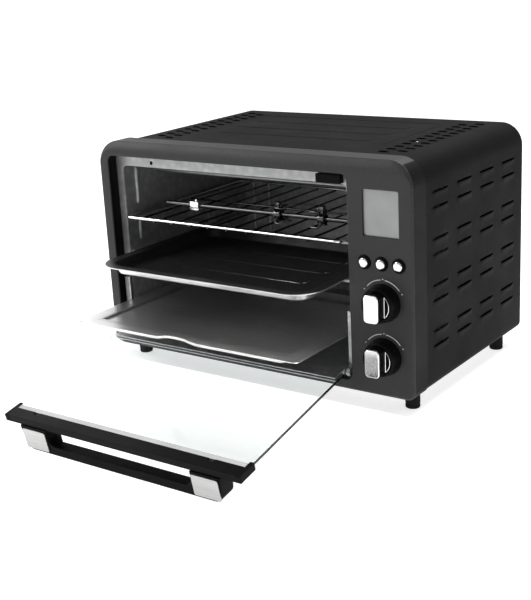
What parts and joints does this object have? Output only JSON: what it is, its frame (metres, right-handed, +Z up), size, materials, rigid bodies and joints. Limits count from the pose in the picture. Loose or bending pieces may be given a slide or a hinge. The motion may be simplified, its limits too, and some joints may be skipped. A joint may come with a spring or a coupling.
{
  "type": "toaster oven",
  "caption": "Countertop toaster oven with a drop-down glass door, wire rack, baking tray, crumb tray, rotisserie spit, display window, push buttons and rotary knobs.",
  "frame": {"origin": "centre of the raised pad in the base pan's underside, midway between the four feet; the feet stand 22.4 mm below it", "axes": "+Z up, +X to the right of a person facing the door, -Y towards that person"},
  "size_m": [0.488, 0.5596, 0.3587],
  "materials": {
    "body_coat": "matte black fine-texture powder coat",
    "bezel_coat": "charcoal powder coat with a fine metallic speckle",
    "zinc_sheet": "zinc-plated sheet steel, satin",
    "cavity_sheet": "dark grey satin-coated cavity sheet",
    "heater_sheath": "satin stainless tube",
    "black_plastic": "black moulded plastic",
    "knob_plastic": "semi-gloss black moulded plastic",
    "bright_metal": "chrome plate",
    "handle_steel": "brushed stainless steel",
    "tray_steel": "satin steel sheet",
    "nonstick": "dark grey non-stick coating",
    "door_glass": "clear tempered glass, polished edges",
    "display_lens": "grey display lens, unlit",
    "circuit_board": "green solder mask",
    "rubber": "black moulded rubber"
  },
  "bodies": {
    "oven_body": {"outer_wrap": "body_coat", "front_bezel": "bezel_coat", "base_pan": "zinc_sheet", "rear_panel": "body_coat", "cord_gland": "rubber", "foot_front_left": "rubber", "foot_front_right": "rubber", "foot_rear_left": "rubber", "foot_rear_right": "rubber", "cavity_front_frame": "cavity_sheet", "cavity_left_wall": "cavity_sheet", "cavity_right_wall": "cavity_sheet", "cavity_top": "cavity_sheet", "cavity_floor": "cavity_sheet", "cavity_rear_wall": "cavity_sheet", "heater_upper_front": "heater_sheath", "heater_upper_rear": "heater_sheath", "heater_lower_front": "heater_sheath", "heater_lower_rear": "heater_sheath", "door_catch": "black_plastic", "hinge_bracket_left": "zinc_sheet", "hinge_bracket_right": "zinc_sheet", "spit_support": "zinc_sheet", "temperature_probe": "heater_sheath", "bay_heat_shield": "zinc_sheet", "rotisserie_motor": "zinc_sheet", "power_board": "circuit_board", "transformer": "zinc_sheet", "control_board": "circuit_board", "display_module": "black_plastic", "display_window": "display_lens", "button_collar_1": "black_plastic", "button_collar_2": "black_plastic", "button_collar_3": "black_plastic", "encoder_upper": "heater_sheath", "encoder_lower": "heater_sheath"},
    "door": {"door_glass": "door_glass", "door_hinge_rail": "zinc_sheet", "door_top_trim": "black_plastic", "door_end_cap_left": "black_plastic", "door_end_cap_right": "black_plastic", "handle_bar": "black_plastic", "handle_cap_left": "handle_steel", "handle_cap_right": "handle_steel"},
    "rack": {"wire_rack": "bright_metal", "rack_cross_wire": "bright_metal", "spit_rod": "bright_metal"},
    "fork_left": {"spit_fork_left": "bright_metal"},
    "fork_right": {"spit_fork_right": "bright_metal"},
    "bake_tray": {"bake_tray": "nonstick"},
    "crumb_tray": {"crumb_tray": "tray_steel"},
    "knob_upper": {"knob_upper": "knob_plastic", "knob_upper_cap": "bright_metal"},
    "knob_lower": {"knob_lower": "knob_plastic", "knob_lower_cap": "bright_metal"},
    "button_1": {"button_1": "bright_metal"},
    "button_2": {"button_2": "bright_metal"},
    "button_3": {"button_3": "bright_metal"},
    "spit_drive": {"drive_socket": "heater_sheath"}
  },
  "joints": [
    {"name": "door_hinge", "type": "hinge", "parent": "oven_body", "child": "door", "pos_m": [0, -0.157, 0.024], "axis": [-1, 0, 0], "range_deg": [0, 101.8]},
    {"name": "rack_slide", "type": "slide", "parent": "oven_body", "child": "rack", "axis": [0, 1, 0], "range_m": [-0.14, 0.011]},
    {"name": "bake_tray_slide", "type": "slide", "parent": "oven_body", "child": "bake_tray", "axis": [0, 1, 0], "range_m": [0, 0.0861]},
    {"name": "crumb_tray_slide", "type": "slide", "parent": "oven_body", "child": "crumb_tray", "axis": [0, 1, 0], "range_m": [0, 0.1361]},
    {"name": "fork_left_slide", "type": "slide", "parent": "rack", "child": "fork_left", "axis": [1, 0, 0], "range_m": [-0.1, 0.004]},
    {"name": "fork_right_slide", "type": "slide", "parent": "rack", "child": "fork_right", "axis": [1, 0, 0], "range_m": [-0.004, 0.034]},
    {"name": "knob_upper_turn", "type": "hinge", "parent": "oven_body", "child": "knob_upper", "pos_m": [0.2023, -0.16, 0.1217], "axis": [0, 1, 0], "continuous": true},
    {"name": "knob_lower_turn", "type": "hinge", "parent": "oven_body", "child": "knob_lower", "pos_m": [0.2023, -0.16, 0.0532], "axis": [0, 1, 0], "continuous": true},
    {"name": "button_1_press", "type": "slide", "parent": "oven_body", "child": "button_1", "axis": [0, 1, 0], "range_m": [0, 0.0012], "stiffness_N_per_m": 400},
    {"name": "button_2_press", "type": "slide", "parent": "oven_body", "child": "button_2", "axis": [0, 1, 0], "range_m": [0, 0.0012], "stiffness_N_per_m": 400},
    {"name": "button_3_press", "type": "slide", "parent": "oven_body", "child": "button_3", "axis": [0, 1, 0], "range_m": [0, 0.0012], "stiffness_N_per_m": 400},
    {"name": "spit_drive_turn", "type": "hinge", "parent": "oven_body", "child": "spit_drive", "pos_m": [0.13, 0, 0.163], "axis": [1, 0, 0], "continuous": true}
  ],
  "couplings": [
    {"joint": "bake_tray_slide", "follows": "door_hinge", "m_per_rad": 0.0484},
    {"joint": "crumb_tray_slide", "follows": "door_hinge", "m_per_rad": 0.0765}
  ]
}
